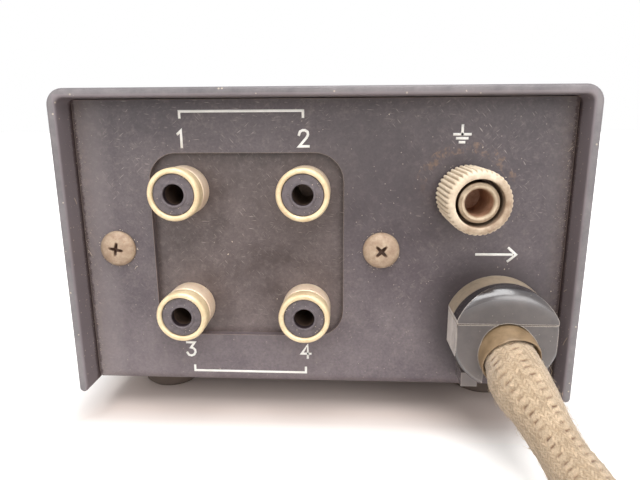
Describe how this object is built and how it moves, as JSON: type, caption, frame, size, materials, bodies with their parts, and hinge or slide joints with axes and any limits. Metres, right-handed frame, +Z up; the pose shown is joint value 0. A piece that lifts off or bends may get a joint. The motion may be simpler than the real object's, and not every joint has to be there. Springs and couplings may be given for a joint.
{
  "type": "moving coil step-up transformer",
  "caption": "Small bent-sheet audio box with phono sockets, a ground binding post, a selector knob, shielded transformers inside and a captive braided output lead wound in a coil.",
  "frame": {"origin": "middle of the object's box, on the surface that the feet stand on, measured without the output lead", "axes": "+Z up, +Y out of the rear panel with the sockets, -Y out of the front with the knob"},
  "size_m": [0.1012, 0.3276, 0.056],
  "materials": {
    "cover_paint": "dark grey satin paint, worn at the edges",
    "panel_paint": "dark grey satin paint, dusty",
    "fascia": "dark anodised plate",
    "foot_rubber": "matt rubber",
    "steel": "plated steel",
    "old_screw": "plated steel with rust",
    "phenolic": "brown laminated board",
    "socket_metal": "dull plated brass",
    "insulator": "dark grey moulding",
    "contact_metal": "gold-coloured spring metal",
    "cap_plastic": "aged cream moulding",
    "relief_rubber": "black moulding, dusty",
    "sleeve": "tan sleeve",
    "braid": "beige cotton braid with brown tracer threads",
    "moulded_black": "black moulding",
    "knob_metal": "turned aluminium",
    "white_inlay": "white line",
    "shield": "grey shielding can",
    "core_iron": "stacked laminations",
    "copper": "enamelled copper wire",
    "wire_cover": "insulated hook-up wire"
  },
  "bodies": {
    "root": {"cover": "cover_paint", "chassis": "panel_paint", "front_fascia": "fascia", "feet": "foot_rubber", "foot_screws": "steel", "cover_screws": "steel", "jack_plate": "phenolic", "jack_plate_screws": "old_screw", "jack_plate_nuts": "steel", "jack_shell_1": "socket_metal", "jack_shell_2": "socket_metal", "jack_shell_3": "socket_metal", "jack_shell_4": "socket_metal", "jack_insulator_1": "insulator", "jack_insulator_2": "insulator", "jack_insulator_3": "insulator", "jack_insulator_4": "insulator", "jack_contact_1": "contact_metal", "jack_contact_2": "contact_metal", "jack_contact_3": "contact_metal", "jack_contact_4": "contact_metal", "jack_lugs": "steel", "jack_nuts": "steel", "ground_stud": "socket_metal", "ground_lug": "steel", "ground_nut": "steel", "strain_relief_upper": "relief_rubber", "strain_relief_lower": "relief_rubber", "cord_sleeve": "sleeve", "output_cord": "braid", "cord_coil": "braid", "cord_tail": "braid", "cord_tie": "moulded_black", "cord_splitter": "moulded_black", "lead_left": "braid", "lead_right": "braid", "plug_left": "moulded_black", "plug_right": "moulded_black", "plug_pin_left": "steel", "plug_pin_right": "steel", "switch_bushing": "steel", "switch_nut": "steel", "switch_posts": "steel", "switch_wafer": "phenolic", "switch_tags": "contact_metal", "transformer_cans": "shield", "transformer_bases": "phenolic", "transformer_cores": "core_iron", "transformer_windings": "copper", "transformer_screws": "steel", "tag_board": "phenolic", "board_tags": "contact_metal", "wiring": "wire_cover"},
    "selector": {"selector_knob": "knob_metal", "knob_pointer": "white_inlay", "knob_set_screw": "steel", "switch_shaft": "steel", "switch_rotor": "phenolic"},
    "ground_slide": {"ground_washer": "steel"},
    "ground_cap": {"ground_cap": "cap_plastic"}
  },
  "joints": [
    {"name": "selector_turn", "type": "hinge", "parent": "root", "child": "selector", "pos_m": [0, -0.057, 0.031], "axis": [0, -1, 0], "range_deg": [-30, 30]},
    {"name": "ground_travel", "type": "slide", "parent": "root", "child": "ground_slide", "axis": [0, 1, 0], "range_m": [0, 0.0028]},
    {"name": "ground_turn", "type": "hinge", "parent": "ground_slide", "child": "ground_cap", "pos_m": [-0.0232, 0.064, 0.0395], "axis": [0, 1, 0], "range_deg": [0, 1440.5]}
  ],
  "couplings": [
    {"joint": "ground_turn", "follows": "ground_travel", "rad_per_m": 8976}
  ]
}
